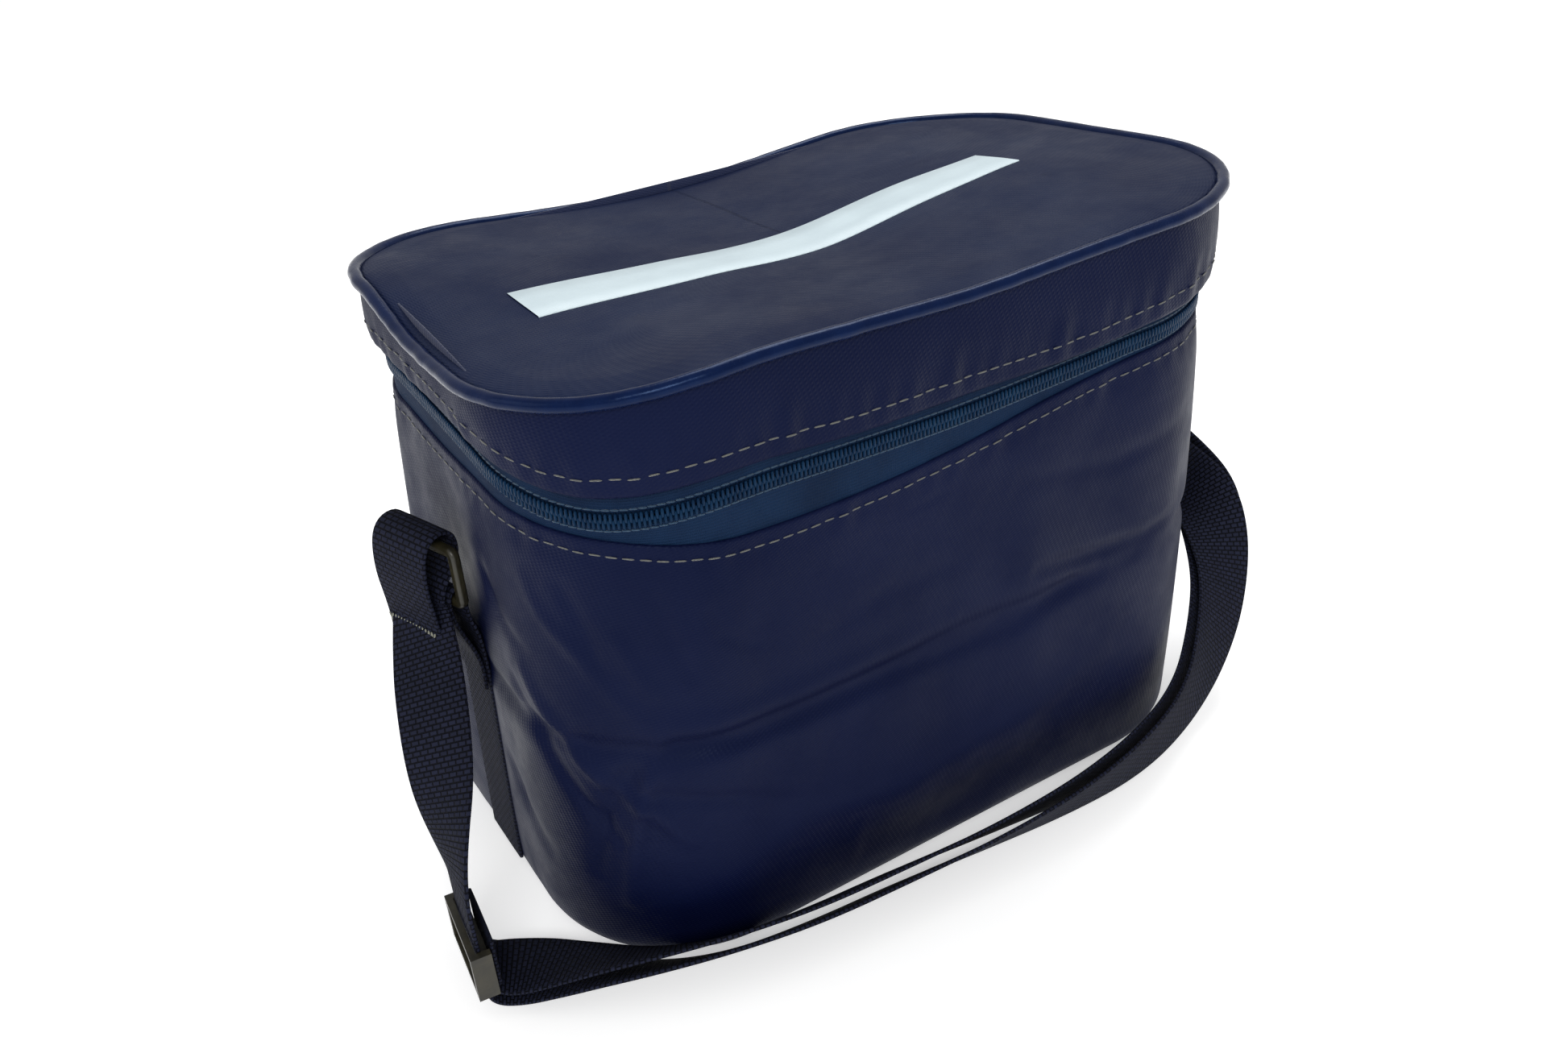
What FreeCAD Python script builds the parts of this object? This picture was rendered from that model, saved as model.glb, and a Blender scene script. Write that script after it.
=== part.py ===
import FreeCAD, Part
import math
import os

V = FreeCAD.Vector

# Soft insulated cooler bag, in millimetres. X runs along the long side, -Y is the front, +Z is up,
# and the origin is the middle of the base, on the surface that the bag stands on.

# overall sizes
BAG_HALF_LENGTH = 129.0     # outer fabric at the rim, half of the long side
BAG_HALF_DEPTH = 89.5       # outer fabric at the rim, half of the short side
BASE_FLARE_LENGTH = 4.0     # the base is longer than the rim by this, each side
BASE_FLARE_DEPTH = -1.5     # and narrower front to back by this, each side
CORNER_RADIUS = 54.0        # upright corners, outer fabric
RIM_HEIGHT = 163.0          # top edge of the body
ZIP_GAP = 14.0              # from the rim up to the lower edge of the lid's skirt
SKIRT_HEIGHT = 26.0         # lid skirt, from its lower edge to the seam of the piping
LID_OVERHANG = 4.0          # the lid stands out past the rim by this, all round

# sheet and layer thicknesses
FABRIC = 1.0
FOAM = 5.0
LINER = 0.6
BOARD = 1.5
GLUE_GAP = 0.1
PIPING_RADIUS = 2.2

# zip fastener
TAPE = 0.8
TAPE_BELOW_RIM = 8.0
TAPE_IN_SKIRT = 9.0
COIL_HEIGHT = 2.2
COIL_DEPTH = 1.5
CHAIN_ABOVE_RIM = 9.0       # middle of the closed chain, above the rim
CHAIN_SPLIT = 0.8           # room between the two coils for the slider's web
ZIP_END_BEFORE_REAR = 14.5  # the zip stops this far in front of the rear face
SLIDER_LENGTH = 9.0
SLIDER_HEIGHT = 7.6
SLIDER_PLATE = 1.2
SLIDER_WEB = 0.3
SLIDER_CLEARANCE = 0.3
SLIDER_REST_FROM_CORNER = 5.5
SLIDER_TRAVEL = 58.0
PULL_LENGTH = 22.0
PULL_WIDTH = 5.6
PULL_THICKNESS = 1.2
PIVOT_RADIUS = 0.7
PIVOT_CLEARANCE = 0.08
KNUCKLE_WALL = 0.8
KNUCKLE_HEIGHT = 2.6

# plain band on the lid
BAND_LENGTH = 180.0
BAND_WIDTH = 24.0
BAND_MIDDLE_X = -8.0
BAND_MIDDLE_Y = -5.0
BAND_THICKNESS = 0.3
BAND_LIFT = 0.1

# webbing, rings and strap adjuster
WEBBING_WIDTH = 25.0
WEBBING = 1.4
RING_BAR = 3.4
RING_INSIDE_LENGTH = 26.4
RING_INSIDE_HEIGHT = 15.6
RING_ROUNDING = 1.3
RING_STANDOFF = 11.0        # middle of the ring out from the side fabric
RING_LOW_BAR_HEIGHT = 116.0
RING_YAW = 20.0             # the strap pulls each ring round towards the front, in degrees
TAB_FOOT_HEIGHT = 4.0
TAB_SLACK = 0.7
WEBBING_CLEARANCE = 0.3
ADJUSTER_BAR = 2.2
ADJUSTER_LENGTH = 18.0
ADJUSTER_RAIL = 2.4
ADJUSTER_CLEARANCE = 0.4
ADJUSTER_LOW = 13.4
ADJUSTER_X = -165.0
ADJUSTER_Y = -57.0
ADJUSTER_TRAVEL = 12.0
LAYER_OFFSET = 2.2          # middle of each strap layer from the middle of the doubled strap
ARC_STEPS = 5


def rounded_wire(half_x, half_y, radius, z):
    """Closed outline of a rectangle with round corners, at height z."""
    edges = []
    straight_x = half_x - radius
    straight_y = half_y - radius
    corners = [(straight_x, -straight_y, -90), (straight_x, straight_y, 0),
               (-straight_x, straight_y, 90), (-straight_x, -straight_y, 180)]
    ends = []
    for x, y, start in corners:
        points = []
        for turn in (0, 45, 90):
            angle = math.radians(start + turn)
            points.append(V(x + radius * math.cos(angle), y + radius * math.sin(angle), z))
        ends.append(points)
    for index, points in enumerate(ends):
        edges.append(Part.Arc(*points).toShape())
        edges.append(Part.LineSegment(points[2], ends[(index + 1) % 4][0]).toShape())
    return Part.Wire(edges)


def body_outline(inset, z):
    """Half sizes and corner radius of the body at height z, moved in by inset."""
    share = 1.0 - z / RIM_HEIGHT
    half_x = BAG_HALF_LENGTH + BASE_FLARE_LENGTH * share - inset
    half_y = BAG_HALF_DEPTH + BASE_FLARE_DEPTH * share - inset
    return half_x, half_y, CORNER_RADIUS - inset


def lid_outline(inset):
    """Half sizes and corner radius of the lid's skirt, moved in by inset."""
    grow = LID_OVERHANG - inset
    return BAG_HALF_LENGTH + grow, BAG_HALF_DEPTH + grow, CORNER_RADIUS + grow


def block(low, high, z0, z1):
    """Solid between two rounded outlines."""
    return Part.makeLoft([rounded_wire(*low, z0), rounded_wire(*high, z1)], True, True)


def body_block(inset, z0, z1):
    return block(body_outline(inset, z0), body_outline(inset, z1), z0, z1)


def body_tube(inset, wall, z0, z1):
    return body_block(inset, z0, z1).cut(body_block(inset + wall, z0, z1))


def lid_block(inset, z0, z1):
    return block(lid_outline(inset), lid_outline(inset), z0, z1)


def lid_tube(inset, wall, z0, z1):
    return lid_block(inset, z0, z1).cut(lid_block(inset + wall, z0, z1))


def three_sides(solid):
    """Keep what lies in front of the zip's two ends."""
    size = 4 * BAG_HALF_LENGTH
    front = BAG_HALF_DEPTH - ZIP_END_BEFORE_REAR
    return solid.common(Part.makeBox(size, size, size, V(-size / 2, front - size, 0)))


def box_between(low, high):
    return Part.makeBox(high[0] - low[0], high[1] - low[1], high[2] - low[2], V(*low))


# heights worked out from the sizes above
SKIRT_LOW = RIM_HEIGHT + ZIP_GAP
SKIRT_TOP = SKIRT_LOW + SKIRT_HEIGHT
CHAIN_HEIGHT = RIM_HEIGHT + CHAIN_ABOVE_RIM
LOWER_COIL_TOP = CHAIN_HEIGHT - CHAIN_SPLIT / 2
UPPER_COIL_LOW = CHAIN_HEIGHT + CHAIN_SPLIT / 2
TAPE_INSET = FABRIC + GLUE_GAP
FOAM_INSET = TAPE_INSET + TAPE + GLUE_GAP
LINER_INSET = FOAM_INSET + FOAM + GLUE_GAP
BOARD_LOW = FABRIC + GLUE_GAP
BASE_FOAM_LOW = BOARD_LOW + BOARD + GLUE_GAP
LINER_LOW = BASE_FOAM_LOW + FOAM + GLUE_GAP
WALL_LAYERS_TOP = RIM_HEIGHT - FABRIC - GLUE_GAP


def body_fabric():
    """Outer fabric, base, stiffener, insulation and lining of the body."""
    base_top = BASE_FOAM_LOW + FOAM
    return {
        "outer_wall": body_tube(0, FABRIC, 0, RIM_HEIGHT),
        "base_panel": body_block(FABRIC + GLUE_GAP, 0, FABRIC),
        "base_board": body_block(FOAM_INSET, BOARD_LOW, BOARD_LOW + BOARD),
        "base_foam": body_block(FOAM_INSET, BASE_FOAM_LOW, base_top),
        "wall_foam": body_tube(FOAM_INSET, FOAM, base_top + GLUE_GAP, WALL_LAYERS_TOP),
        "liner_floor": body_block(LINER_INSET, LINER_LOW, LINER_LOW + LINER),
        "liner_wall": body_tube(LINER_INSET, LINER, LINER_LOW + LINER + GLUE_GAP, WALL_LAYERS_TOP),
        "rim_binding": rim_binding(),
    }


def rim_binding():
    """Folded tape over the top edges of the insulation and the lining."""
    top = body_tube(FOAM_INSET, FOAM + LINER + 2 * FABRIC, RIM_HEIGHT - FABRIC, RIM_HEIGHT)
    inner_inset = LINER_INSET + LINER + GLUE_GAP
    skin = FOAM_INSET + FOAM + LINER + 2 * FABRIC - inner_inset
    return top.fuse(body_tube(inner_inset, skin, RIM_HEIGHT - 10 * FABRIC, RIM_HEIGHT - FABRIC))


def hinge_strip():
    """Strip of fabric along the rear edge that the lid folds on."""
    straight = BAG_HALF_LENGTH - CORNER_RADIUS
    outer = BAG_HALF_DEPTH + FABRIC + GLUE_GAP
    low = (-straight, outer - FABRIC, RIM_HEIGHT - TAPE_BELOW_RIM)
    high = (straight, outer, SKIRT_LOW - FABRIC)
    return box_between(low, high)


def zip_tape(low, high, z0, z1):
    """Three-sided strip of zip tape whose outline may lean between its two edges."""
    inner_low = tuple(value - TAPE for value in low)
    inner_high = tuple(value - TAPE for value in high)
    return three_sides(block(low, high, z0, z1).cut(block(inner_low, inner_high, z0, z1)))


def zip_parts():
    """Both tapes and both coils, lying on the closed chain's line."""
    chain = body_outline(TAPE_INSET, RIM_HEIGHT)
    coil_out = body_outline(TAPE_INSET - COIL_DEPTH, RIM_HEIGHT)
    under_skirt = lid_outline(FABRIC + GLUE_GAP)

    def coil(z0):
        z1 = z0 + COIL_HEIGHT
        return three_sides(block(coil_out, coil_out, z0, z1).cut(block(chain, chain, z0, z1)))

    tape_foot = RIM_HEIGHT - TAPE_BELOW_RIM
    lower_tape = zip_tape(body_outline(TAPE_INSET, tape_foot), chain, tape_foot, RIM_HEIGHT)
    lower_tape = lower_tape.fuse(zip_tape(chain, chain, RIM_HEIGHT, LOWER_COIL_TOP))
    upper_edge = UPPER_COIL_LOW + COIL_HEIGHT
    upper_tape = zip_tape(chain, chain, UPPER_COIL_LOW, upper_edge)
    leaning = zip_tape(chain, under_skirt, upper_edge, SKIRT_LOW + TAPE_IN_SKIRT)
    return {
        "zip_tape_lower": lower_tape,
        "zip_coil_lower": coil(LOWER_COIL_TOP - COIL_HEIGHT),
        "zip_tape_upper": upper_tape.fuse(leaning),
        "zip_coil_upper": coil(UPPER_COIL_LOW),
    }


def piping():
    """Round cord sewn into the seam between the lid's top and its skirt."""
    outline = lid_outline(0)
    path = rounded_wire(*outline, SKIRT_TOP)
    start = path.Edges[0].firstVertex().Point
    direction = path.Edges[0].tangentAt(path.Edges[0].FirstParameter)
    circle = Part.Wire([Part.makeCircle(PIPING_RADIUS, start, direction)])
    return path.makePipeShell([circle], True, True)


def lid_fabric():
    """Top panel, skirt, insulation and lining of the lid, with the plain band on top."""
    seam = PIPING_RADIUS + GLUE_GAP
    top_low = SKIRT_TOP + GLUE_GAP
    top_high = top_low + FABRIC
    foam_top = SKIRT_TOP - GLUE_GAP
    foam_low = foam_top - FOAM
    liner_top = foam_low - GLUE_GAP
    lining = FABRIC + GLUE_GAP + TAPE + GLUE_GAP
    tray = lid_block(lining, SKIRT_LOW + TAPE_IN_SKIRT + GLUE_GAP, liner_top)
    hollow = lid_block(lining + LINER, SKIRT_LOW, liner_top - LINER)
    band_low = top_high + BAND_LIFT
    band = Part.makeBox(BAND_LENGTH, BAND_WIDTH, BAND_THICKNESS)
    band.translate(V(BAND_MIDDLE_X - BAND_LENGTH / 2, BAND_MIDDLE_Y - BAND_WIDTH / 2, band_low))
    binding_low = SKIRT_LOW + TAPE_IN_SKIRT + GLUE_GAP
    binding_inset = lining + LINER + GLUE_GAP
    return {
        "lid_top": lid_block(seam, top_low, top_high),
        "lid_skirt": lid_tube(0, FABRIC, SKIRT_LOW, SKIRT_TOP - seam),
        "lid_piping": piping(),
        "lid_foam": lid_block(seam, foam_low, foam_top),
        "lid_liner": tray.cut(hollow),
        "lid_band": band,
        "lid_binding": lid_tube(binding_inset, FABRIC, binding_low, liner_top - LINER - GLUE_GAP),
    }


def slider_frame():
    """Place of the slider: outer face of the right-hand coil, middle of the slider, chain height."""
    coil_face = BAG_HALF_LENGTH - TAPE_INSET + COIL_DEPTH
    straight = BAG_HALF_DEPTH - CORNER_RADIUS
    return V(coil_face, straight - SLIDER_REST_FROM_CORNER, CHAIN_HEIGHT)


def slider_and_pull():
    """Two plates joined by a thin web between the coils, and a pull on an upright pivot."""
    place = slider_frame()
    half_length = SLIDER_LENGTH / 2
    half_height = SLIDER_HEIGHT / 2
    front = place.x + SLIDER_CLEARANCE
    inside = place.x - COIL_DEPTH - TAPE - SLIDER_CLEARANCE
    y0 = place.y - half_length
    y1 = place.y + half_length
    plate = box_between((front, y0, place.z - half_height), (front + SLIDER_PLATE, y1, place.z + half_height))
    back = box_between((inside - SLIDER_PLATE / 2, y0, place.z - half_height), (inside, y1, place.z + half_height))
    plate = plate.makeFillet(0.5, plate.Edges)
    web = box_between((inside - SLIDER_PLATE / 4, y0 + 1, place.z - SLIDER_WEB / 2),
                      (front + SLIDER_PLATE / 2, y1 - 1, place.z + SLIDER_WEB / 2))
    pivot_out = PIVOT_RADIUS + PIVOT_CLEARANCE + KNUCKLE_WALL
    pivot_x = front + SLIDER_PLATE + pivot_out + PIVOT_CLEARANCE
    half_knuckle = KNUCKLE_HEIGHT / 2
    pivot = Part.makeCylinder(PIVOT_RADIUS, KNUCKLE_HEIGHT + 2, V(pivot_x, place.y, place.z - half_knuckle - 1))
    slider = plate.fuse([back, web, pivot])
    for z in (place.z - half_knuckle - PIVOT_CLEARANCE - 1, place.z + half_knuckle + PIVOT_CLEARANCE):
        lug = box_between((front + SLIDER_PLATE / 2, place.y - 1, z), (pivot_x + PIVOT_RADIUS, place.y + 1, z + 1))
        slider = slider.fuse(lug)
    knuckle = Part.makeCylinder(pivot_out, KNUCKLE_HEIGHT, V(pivot_x, place.y, place.z - half_knuckle))
    neck = box_between((pivot_x - PULL_THICKNESS / 2, place.y, place.z - half_knuckle),
                       (pivot_x + PULL_THICKNESS / 2, place.y + 5, place.z + half_knuckle))
    grip = box_between((pivot_x - PULL_THICKNESS / 2, place.y + 4, place.z - PULL_WIDTH / 2),
                       (pivot_x + PULL_THICKNESS / 2, place.y + PULL_LENGTH, place.z + PULL_WIDTH / 2))
    long_edges = [edge for edge in grip.Edges if abs(edge.tangentAt(0).x) > 0.9]
    pull = knuckle.fuse([neck, grip.makeFillet(1.4, long_edges)])
    bore = Part.makeCylinder(PIVOT_RADIUS + PIVOT_CLEARANCE, KNUCKLE_HEIGHT, V(pivot_x, place.y, place.z - half_knuckle))
    return {"zip_slider": slider.removeSplitter(), "zip_pull": pull.cut(bore).removeSplitter()}


def side_x(z):
    """Outer face of the body's side at height z, as a distance from the middle."""
    return body_outline(0, z)[0]


RING_X = side_x(RING_LOW_BAR_HEIGHT) + RING_STANDOFF
RING_PITCH = RING_INSIDE_HEIGHT + RING_BAR
RING_TOP_BAR_HEIGHT = RING_LOW_BAR_HEIGHT + RING_PITCH


def ring_axes(side):
    """Outward direction and bar direction of a ring; side is -1 for left and 1 for right."""
    yaw = math.radians(RING_YAW)
    outward = V(side * math.cos(yaw), -math.sin(yaw), 0)
    along = V(-side * math.sin(yaw), -math.cos(yaw), 0)
    return outward, along


def ring(side):
    """Moulded rectangular ring, standing up, with its bars along the webbing's width."""
    height = RING_PITCH + RING_BAR
    length = RING_INSIDE_LENGTH + 2 * RING_BAR
    outer = Part.makeBox(RING_BAR, length, height, V(-RING_BAR / 2, -length / 2, -RING_BAR / 2))
    upright = [edge for edge in outer.Edges if abs(edge.tangentAt(0).x) > 0.9]
    outer = outer.makeFillet(RING_BAR, upright)
    inner = Part.makeBox(2 * RING_BAR, RING_INSIDE_LENGTH, RING_INSIDE_HEIGHT,
                         V(-RING_BAR, -RING_INSIDE_LENGTH / 2, RING_BAR / 2))
    solid = outer.cut(inner)
    rims = [edge for edge in solid.Edges if abs(abs(edge.CenterOfMass.x) - RING_BAR / 2) < 0.01]
    solid = solid.makeFillet(RING_ROUNDING, rims)
    solid.rotate(V(0, 0, 0), V(0, 0, 1), -side * RING_YAW)
    solid.translate(V(side * RING_X, 0, RING_LOW_BAR_HEIGHT))
    return solid


def tangent_route(points):
    """Straight runs joined by tangent arcs: stations of (point, place along the list of points)."""
    stations = [(points[0], 0.0)]
    radii = []
    for i in range(1, len(points) - 1):
        before = points[i] - points[i - 1]
        after = points[i + 1] - points[i]
        turn = before.getAngle(after)
        shorter = min(before.Length, after.Length)
        reach = 0.45 * shorter
        radius = reach / math.tan(turn / 2)
        radii.append(radius)
        into = V(before).normalize()
        out = V(after).normalize()
        first = points[i] - into * reach
        towards = (out - into * out.dot(into)).normalize()
        centre = first + towards * radius
        for step in range(ARC_STEPS + 1):
            angle = turn * step / ARC_STEPS
            point = centre - towards * (radius * math.cos(angle)) + into * (radius * math.sin(angle))
            share = 2.0 * step / ARC_STEPS - 1.0
            run = before.Length if share < 0 else after.Length
            stations.append((point, i + share * reach / run))
    stations.append((points[-1], float(len(points) - 1)))
    return stations, radii


def between(values, place):
    """Value of a list of vectors at a place between two of its entries."""
    low = min(int(place), len(values) - 2)
    share = place - low
    return values[low] * (1 - share) + values[low + 1] * share


def frames(route):
    """(point, along, across, face) at each station of a route of (point, across) pairs."""
    points = [point for point, across in route]
    acrosses = [across for point, across in route]
    stations, radii = tangent_route(points)
    result = []
    for index, (point, place) in enumerate(stations):
        ahead = stations[min(index + 1, len(stations) - 1)][0]
        behind = stations[max(index - 1, 0)][0]
        along = (ahead - behind).normalize()
        across = between(acrosses, place)
        across = (across - along * across.dot(along)).normalize()
        result.append((point, along, across, along.cross(across)))
    return result, radii


def length_of(stations):
    return sum((b[0] - a[0]).Length for a, b in zip(stations, stations[1:]))


def ribbon(stations):
    """Flat webbing through the stations: straight-sided faces from each section to the next."""
    sections = []
    for point, along, across, face in stations:
        half_width = across * (WEBBING_WIDTH / 2)
        half_thickness = face * (WEBBING / 2)
        sections.append([point - half_width - half_thickness, point + half_width - half_thickness,
                         point + half_width + half_thickness, point - half_width + half_thickness])
    faces = [Part.Face(Part.makePolygon(section + section[:1])) for section in (sections[0], sections[-1])]
    for first, second in zip(sections, sections[1:]):
        for corner in range(4):
            following = (corner + 1) % 4
            edge = Part.makeLine(first[corner], first[following])
            opposite = Part.makeLine(second[corner], second[following])
            faces.append(Part.makeRuledSurface(edge, opposite))
    shell = Part.makeShell(faces)
    shell.sewShape()
    solid = Part.makeSolid(shell)
    if solid.Volume < 0:
        solid.reverse()
    return solid


def shifted(stations, offset):
    """The same stations, moved along their face direction."""
    return [(point + face * offset, along, across, face) for point, along, across, face in stations]


def ring_local(side, out, height):
    """Point in a ring's own upright plane: out from the ring's plane, at a height above the floor."""
    outward, along = ring_axes(side)
    return V(side * RING_X, 0, height) + outward * out


def side_webbing(side):
    """Webbing sewn up the side, folded over the ring's lower bar and sewn back to itself."""
    outward, along = ring_axes(side)
    low_bar = RING_LOW_BAR_HEIGHT
    reach = RING_BAR / 2 + WEBBING / 2 + TAB_SLACK
    over = low_bar + reach + TAB_SLACK
    flat = V(0, -1, 0)

    def on_side(stand_off, z):
        return V(side * (side_x(z) + stand_off), 0, z), flat

    def round_bar(out, z):
        return ring_local(side, out, z), along

    under = WEBBING / 2 + WEBBING_CLEARANCE
    sewn = under + WEBBING + WEBBING_CLEARANCE
    route = [
        on_side(under, TAB_FOOT_HEIGHT),
        on_side(under, low_bar - TAB_LEAVES_WALL),
        round_bar(-reach, low_bar - TAB_FOLD),
        round_bar(-reach, over),
        round_bar(reach, over),
        round_bar(reach, low_bar - TAB_FOLD - 1),
        on_side(sewn, low_bar - TAB_SEWN_TOP),
        on_side(sewn, low_bar - TAB_SEWN_END),
    ]
    stations, radii = frames(route)
    return ribbon(stations)


def strap_loop(side):
    """Route of the strap round a ring's upper bar, from its outer leg to its inner leg."""
    outward, along = ring_axes(side)
    top = RING_TOP_BAR_HEIGHT
    return [(ring_local(side, out, top + above), along) for out, above in STRAP_LOOP]


# loop of the strap round the upper bar: out from the ring's plane, and above the bar
STRAP_LOOP = [(8.6, -24), (10.4, -8), (7.5, 6.5), (-3.8, 6.5), (-4.2, -5), (4.8, -12), (6.2, -24)]
STRAP_LOOP_TAIL = 12

# side webbing below the ring's lower bar
TAB_FOLD = 5
TAB_LEAVES_WALL = 16
TAB_SEWN_TOP = 25
TAB_SEWN_END = 36

# straight stretch of the strap that the adjuster slides on
STRAP_ABOVE_ADJUSTER = 2
STRAIGHT_SPARE = 10
ADJUSTER_ACROSS = V(-0.10, -1, 0).normalize()
ADJUSTER_FACE = V(ADJUSTER_ACROSS.y, -ADJUSTER_ACROSS.x, 0)
ADJUSTER_TOP = ADJUSTER_LOW + ADJUSTER_LENGTH + STRAP_ABOVE_ADJUSTER


def hanging_route():
    """The strap from its loop on the left ring down to the adjuster."""
    line = V(ADJUSTER_X, ADJUSTER_Y, 0) + ADJUSTER_FACE * LAYER_OFFSET
    straight = ADJUSTER_TOP + ADJUSTER_TRAVEL + STRAIGHT_SPARE
    return [
        (V(-156, -34, 88), V(0.20, -0.97, 0)),
        (line + V(0, 0, straight), ADJUSTER_ACROSS),
        (line + V(0, 0, ADJUSTER_TOP), ADJUSTER_ACROSS),
    ]


def floor_route():
    """Middle of the doubled strap, from the adjuster along the floor in front and up to the right ring."""
    return [
        (V(ADJUSTER_X, ADJUSTER_Y, ADJUSTER_TOP), ADJUSTER_ACROSS),
        (V(ADJUSTER_X, ADJUSTER_Y, 7.0), ADJUSTER_ACROSS),
        (V(-154, -61.5, 5.5), V(-0.20, -0.97, 0.08)),
        (V(-140, -73, 8.5), V(-0.28, -0.85, 0.35)),
        (V(-121, -87, 11.8), V(-0.25, -0.70, 0.65)),
        (V(-97, -96.5, 12.6), V(-0.20, -0.62, 0.76)),
        (V(-68, -101.5, 12.4), V(-0.15, -0.66, 0.74)),
        (V(-34, -104, 12.6), V(-0.10, -0.66, 0.75)),
        (V(2, -107.5, 13.0), V(-0.05, -0.60, 0.80)),
        (V(38, -109, 13.6), V(0, -0.45, 0.90)),
        (V(72, -106.5, 14.6), V(0, -0.20, 0.98)),
        (V(101, -98.5, 17.5), V(-0.05, 0, 1)),
        (V(125, -87, 27), V(-0.25, 0.30, 0.90)),
        (V(145, -73, 41), V(-0.30, 0.55, 0.75)),
        (V(157, -56, 59), V(-0.20, 0.90, 0.50)),
        (V(160, -34, 80), V(0.10, 0.95, 0.15)),
        (V(153, -11, 99), V(0.30, 0.95, 0)),
    ]


def reversed_stations(stations):
    """The same stations walked the other way."""
    return [(point, along * -1, across, face * -1) for point, along, across, face in reversed(stations)]


def strap():
    """One length of webbing: left loop, single run, doubled run, right loop and back to the adjuster."""
    left = strap_loop(-1)
    tail = [(left[0][0] - V(0, 0, STRAP_LOOP_TAIL), left[0][1])]
    right = [(point, across * -1) for point, across in reversed(strap_loop(1))]
    single, single_radii = frames(tail + left + hanging_route())
    middle, floor_radii = frames(floor_route())
    turn, turn_radii = frames(right)
    outer = shifted(middle, LAYER_OFFSET)
    inner = shifted(middle, -LAYER_OFFSET)
    print("radii", [round(radius, 1) for radius in single_radii + floor_radii + turn_radii])
    print("single run", round(length_of(single), 1), "doubled run", round(length_of(middle), 1))
    stations = single[:-1] + outer + turn + reversed_stations(inner)
    solid = ribbon(stations)
    print("volume over section times length", round(solid.Volume / (length_of(stations) * WEBBING_WIDTH * WEBBING), 3))
    return solid


def adjuster():
    """Moulded three-bar adjuster, upright on the strap just above the floor."""
    half_width = WEBBING_WIDTH / 2 + ADJUSTER_CLEARANCE
    half_length = ADJUSTER_LENGTH / 2
    layer_face = LAYER_OFFSET + WEBBING / 2 + ADJUSTER_CLEARANCE
    out = layer_face + ADJUSTER_BAR
    low = -ADJUSTER_BAR / 2
    rails = [box_between((low, y, -half_length), (out, y + ADJUSTER_RAIL, half_length))
             for y in (-half_width - ADJUSTER_RAIL, half_width)]
    centre = box_between((low, -half_width - 1, -ADJUSTER_BAR), (ADJUSTER_BAR / 2, half_width + 1, ADJUSTER_BAR))
    ends = [box_between((layer_face, -half_width - 1, z), (out, half_width + 1, z + ADJUSTER_BAR))
            for z in (-half_length, half_length - ADJUSTER_BAR)]
    solid = rails[0].fuse([rails[1], centre] + ends).removeSplitter()
    solid.rotate(V(0, 0, 0), V(0, 0, 1), math.degrees(math.atan2(-ADJUSTER_ACROSS.x, ADJUSTER_ACROSS.y)))
    solid.translate(V(ADJUSTER_X, ADJUSTER_Y, ADJUSTER_LOW + half_length))
    return solid


def export(nodes):
    os.makedirs("parts", exist_ok=True)
    for name, shape in nodes.items():
        solids = shape.Solids
        assert solids and all(solid.isValid() for solid in solids), name
        shape = solids[0] if len(solids) == 1 else Part.makeCompound(solids)
        shape.exportStep("parts/" + name + ".step")
        print(name, len(solids), round(shape.Volume / 1000, 2), shape.BoundBox)


nodes = {}
nodes.update(body_fabric())
nodes["hinge_strip"] = hinge_strip()
nodes.update(zip_parts())
nodes.update(lid_fabric())
nodes.update(slider_and_pull())
for name, side in (("left", -1), ("right", 1)):
    nodes["ring_" + name] = ring(side)
    nodes["side_webbing_" + name] = side_webbing(side)
nodes["shoulder_strap"] = strap()
nodes["strap_adjuster"] = adjuster()
export(nodes)
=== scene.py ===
import math
import bpy
import numpy as np
from mathutils import Matrix, Vector


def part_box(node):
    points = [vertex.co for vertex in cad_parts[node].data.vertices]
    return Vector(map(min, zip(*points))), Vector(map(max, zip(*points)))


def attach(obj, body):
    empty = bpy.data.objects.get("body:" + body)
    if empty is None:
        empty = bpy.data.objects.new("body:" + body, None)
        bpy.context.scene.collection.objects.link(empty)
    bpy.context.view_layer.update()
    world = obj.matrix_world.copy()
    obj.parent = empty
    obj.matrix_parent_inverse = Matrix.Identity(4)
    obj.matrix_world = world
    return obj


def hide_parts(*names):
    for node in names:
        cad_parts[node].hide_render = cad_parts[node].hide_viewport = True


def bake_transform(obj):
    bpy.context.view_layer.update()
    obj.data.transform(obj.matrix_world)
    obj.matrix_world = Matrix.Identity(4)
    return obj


# Soft insulated cooler bag, in metres. X runs along the long side, -Y is the front, +Z is up.
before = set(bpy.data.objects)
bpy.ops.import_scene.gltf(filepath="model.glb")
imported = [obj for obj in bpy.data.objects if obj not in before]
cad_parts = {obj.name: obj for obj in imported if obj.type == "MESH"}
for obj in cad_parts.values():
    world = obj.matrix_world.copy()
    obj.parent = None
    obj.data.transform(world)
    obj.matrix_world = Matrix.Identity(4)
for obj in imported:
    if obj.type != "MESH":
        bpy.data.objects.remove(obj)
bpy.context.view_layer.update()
rng = np.random.default_rng(7)
MM = 0.001

# ---------------------------------------------------------------- sizes read from the frame
wall_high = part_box("outer_wall")[1]
skirt_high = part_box("lid_skirt")[1]
BASE_FLARE_X = 4.0 * MM
BASE_FLARE_Y = -1.5 * MM
RIM_X = wall_high.x - BASE_FLARE_X
RIM_Y = wall_high.y
RIM_Z = wall_high.z
LID_X = skirt_high.x
LID_Y = skirt_high.y
CORNER = 54.0 * MM
LID_CORNER = CORNER + LID_X - RIM_X
PIPING_RADIUS = 2.2 * MM

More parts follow.
